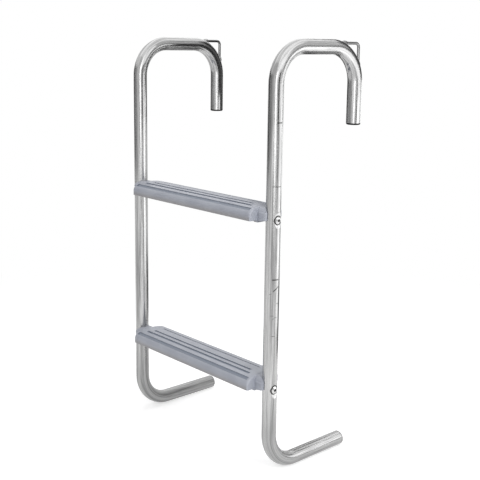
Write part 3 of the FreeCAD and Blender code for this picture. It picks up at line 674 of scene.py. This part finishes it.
def crownTop(bm, setup):
    for vertex in bm.verts:
        if vertex.co.z > setup["ribBottom"]:
            vertex.co.z -= crownDrop(vertex.co.y, setup)


def toObject(bm, name):
    bmesh.ops.recalc_face_normals(bm, faces=bm.faces)
    mesh = bpy.data.meshes.new(name)
    bm.to_mesh(mesh)
    bm.free()
    made = bpy.data.objects.new(name, mesh)
    bpy.context.scene.collection.objects.link(made)
    return made


def bothEnds(bm):
    geometry = bm.verts[:] + bm.edges[:] + bm.faces[:]
    bmesh.ops.mirror(bm, geom=geometry, matrix=Matrix(), merge_dist=-1, axis="X")
    return bm


def combine(body, operation, bm):
    tool = toObject(bm, "tool")
    modifier = body.modifiers.new("combine", "BOOLEAN")
    modifier.operation = operation
    modifier.solver = "EXACT"
    modifier.object = tool
    graph = bpy.context.evaluated_depsgraph_get()
    mesh = bpy.data.meshes.new_from_object(body.evaluated_get(graph))
    body.modifiers.clear()
    body.data = mesh
    bpy.data.objects.remove(tool)


def makeTreadBlock(setup):
    half, front, back, top, lip = (setup[key] for key in ("half", "front", "back", "top", "lip"))
    rounding = setup["rounding"]
    bm = bmesh.new()
    addBlock(bm, (-half, front, lip), (half, back, top))

    def alongNose(a, b):
        return near(a.z, top) and near(b.z, top) and near(a.y, b.y)

    def aroundEnd(a, b):
        return near(abs(a.x), half) and near(a.x, b.x) and not (near(a.z, lip) and near(b.z, lip))

    def alongLip(a, b):
        outer = near(a.y, front) or near(a.y, back)
        return outer and near(a.y, b.y) and near(a.z, lip) and near(b.z, lip)

    roundEdges(bm, rounding["nose"], alongNose)
    roundEdges(bm, rounding["end"], aroundEnd)
    roundEdges(bm, rounding["lip"], alongLip)
    noseRadius, _ = rounding["nose"]
    flatFront, flatBack = front + noseRadius, back - noseRadius
    for strip in range(1, setup["crownStrips"]):
        y = flatFront + (flatBack - flatFront) * strip / setup["crownStrips"]
        cutAcross(bm, (0, y, 0), (0, 1, 0))
    crownTop(bm, setup)

    endWall, neckHalf = half - setup["endWall"], setup["neckHalf"]
    for side in (-1, 1):
        cutAcross(bm, (side * endWall, 0, 0), (1, 0, 0))
        cutAcross(bm, (0, side * neckHalf, 0), (0, 1, 0))
    for vertex in bm.verts:
        x, y, z = vertex.co
        if z < 0 and abs(x) > endWall - closeness and abs(y) < neckHalf + closeness:
            vertex.co.z = setup["keel"]
    return toObject(bm, "treadBlock")


def makeNecks(setup):
    half, reach, bottom = setup["neckHalf"], setup["neckReach"], setup["neckBottom"]
    top = setup["top"] - setup["neckStep"]
    bm = bmesh.new()
    root = setup["half"] - setup["endWall"] - setup["neckRoot"]
    addBlock(bm, (root, -half, bottom), (reach, half, top))

    def atReach(a, b):
        return near(a.x, reach) and near(b.x, reach)

    def onSide(a, b):
        return near(abs(a.y), half) and near(a.y, b.y)

    def aboveNeck(a, b):
        return near(a.z, top) and near(b.z, top) and (atReach(a, b) or onSide(a, b))

    def besideTube(a, b):
        return atReach(a, b) and onSide(a, b)

    roundEdges(bm, setup["rounding"]["neckTop"], aboveNeck)
    roundEdges(bm, setup["rounding"]["neckSide"], besideTube)
    crownTop(bm, setup)
    for vertex in bm.verts:
        if near(vertex.co.z, bottom):
            share = max(vertex.co.x - setup["half"], 0) / (reach - setup["half"])
            vertex.co.z += share * (setup["neckTip"] - bottom)
    return bothEnds(bm)


def makePockets(setup):
    inner = setup["half"] - setup["endWall"]
    ribs = [-inner - setup["ribHalf"], *setup["ribs"], inner + setup["ribHalf"]]
    low, ceiling = setup["ribBottom"] - setup["pocketOverlap"], setup["ceiling"]
    front, back = setup["front"] + setup["wall"], setup["back"] - setup["wall"]
    middle = setup["crownMiddle"]
    bm = bmesh.new()
    for start, end in zip(ribs, ribs[1:]):
        x0, x1 = start + setup["ribHalf"], end - setup["ribHalf"]
        addBlock(bm, (x0, front, low), (x1, middle - setup["ribHalf"], ceiling))
        addBlock(bm, (x0, middle + setup["ribHalf"], low), (x1, back, ceiling))

    def ceilingCorner(a, b):
        outer = near(a.y, front) or near(a.y, back)
        return outer and near(a.y, b.y) and near(a.z, ceiling) and near(b.z, ceiling)

    roundEdges(bm, setup["rounding"]["ceiling"], ceilingCorner)
    return bm


def makeGrooves(setup):
    bm = bmesh.new()
    above = setup["top"] + setup["clear"]
    for middle, width, reach in setup["grooves"]:
        corners = addBlock(bm, (-reach, middle - width / 2, 0), (reach, middle + width / 2, above))
        for vertex in corners:
            if near(vertex.co.z, 0):
                drop = noseDrop(vertex.co.y, setup) + crownDrop(vertex.co.y, setup)
                vertex.co.z = setup["top"] - drop - setup["grooveDepth"]
    return bm


def noseDrop(y, setup):
    radius, _ = setup["rounding"]["nose"]
    into = max(setup["front"] + radius - y, 0)
    return radius - math.sqrt(radius ** 2 - into ** 2)


def addRound(bm, radius, setup, turn):  # a cylinder through the middle of the tube
    place = Matrix.Translation((setup["tubeX"], 0, 0)) @ turn
    bmesh.ops.create_cone(bm, cap_ends=True, segments=setup["roundSides"], radius1=radius, radius2=radius,
                          depth=setup["toolLength"], matrix=place)


def makeTread(setup):
    tread = makeTreadBlock(setup)
    combine(tread, "UNION", makeNecks(setup))
    inner, below, overlap = setup["half"] - setup["endWall"], setup["keel"] - setup["clear"], setup["overlap"]

    shallow = bmesh.new()
    front, back = setup["front"] + setup["wall"], setup["back"] - setup["wall"]
    addBlock(shallow, (-inner, front, below), (inner, back, setup["ribBottom"]))
    combine(tread, "DIFFERENCE", shallow)
    combine(tread, "DIFFERENCE", makePockets(setup))

    cheeks = bmesh.new()
    cheek, start = setup["cheekHalf"], inner - setup["nutDepth"]
    ceiling = setup["ceiling"] + overlap
    addBlock(cheeks, (start, -cheek, setup["keel"]), (inner + overlap, cheek, ceiling))
    combine(tread, "UNION", bothEnds(cheeks))

    seats = bmesh.new()
    nut = setup["nutHalf"]
    addBlock(seats, (start - overlap, -nut, below), (inner, nut, setup["nutTop"]))
    addRound(seats, setup["saddleRadius"], setup, Matrix())
    combine(tread, "DIFFERENCE", bothEnds(seats))

    holes = bmesh.new()
    addRound(holes, setup["holeRadius"], setup, Matrix.Rotation(math.pi / 2, 4, "Y"))
    combine(tread, "DIFFERENCE", bothEnds(holes))
    combine(tread, "DIFFERENCE", makeGrooves(setup))
    return tread


def cleanMesh(mesh):
    bm = bmesh.new()
    bm.from_mesh(mesh)
    bmesh.ops.remove_doubles(bm, verts=bm.verts, dist=closeness)
    bmesh.ops.dissolve_degenerate(bm, edges=bm.edges, dist=closeness)
    bmesh.ops.recalc_face_normals(bm, faces=bm.faces)
    bm.to_mesh(mesh)
    bm.free()


def placeTreads(setup, material):
    shape = makeTread(setup)
    cleanMesh(shape.data)
    for step in ("lower", "upper"):
        mesh = shape.data.copy()
        place = Matrix.Translation((0, screwLines["RailY"], screwLines[step.capitalize()]))
        mesh.transform(place @ Matrix.Scale(millimetre, 4))
        mesh.shade_smooth()
        mesh.set_sharp_from_angle(angle=math.radians(setup["sharpOver"]))
        mesh.materials.clear()
        mesh.materials.append(material)
        tread = bpy.data.objects.new("mouldedTread" + step.capitalize(), mesh)
        bpy.context.scene.collection.objects.link(tread)
        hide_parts("tread_" + step)
        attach(tread, "root")
    bpy.data.objects.remove(shape)


# Black plugs
plugFinish = {
    "dark": 0.003,
    "light": 0.009,
    "roughness": 0.8,
    "specular": 0.08,
    "grainScale": 1800.0,
    "grainDepth": 0.00005,
}


def makePlugMaterial(setup):
    material, tree = newMaterial("plugRubber")
    place = addNode(tree, "ShaderNodeTexCoord").outputs["Object"]
    grain = useGroup(tree, grainGroup, {"Position": place, "Scale": setup["grainScale"]})
    colour = blend(tree, grain["Cloud"], grey(setup["dark"]), grey(setup["light"]))
    bump = addNode(tree, "ShaderNodeBump", {"Height": grain["Grain"], "Distance": setup["grainDepth"]})
    inputs = {"Base Color": colour, "Roughness": setup["roughness"], "Specular IOR Level": setup["specular"]}
    shader = addNode(tree, "ShaderNodeBsdfPrincipled", inputs)
    tree.links.new(bump.outputs[0], shader.inputs["Normal"])
    addNode(tree, "ShaderNodeOutputMaterial", {"Surface": shader.outputs[0]})
    return material


# One finish for each kind of node, found by the first word of the node's name
finishes = {
    "rail": makeTubeMaterial(tubeFinish),
    "tie": makeSteelMaterial("rod", steelFinish),
    "loop": makeSteelMaterial("weld", steelFinish),
    "screw": makeSteelMaterial("fastener", steelFinish),
    "tread": makeTreadMaterial(treadFinish, treadShape),
    "hook": makePlugMaterial(plugFinish),
}
finishes["nut"] = finishes["screw"]
finishes["foot"] = finishes["hook"]
for name, node in nodes.items():
    node.data.materials.clear()
    node.data.materials.append(finishes[name.split("_")[0]])
print("finishes on", len(nodes), "nodes")

placeTreads(treadShape, finishes["tread"])
print("treads moulded")
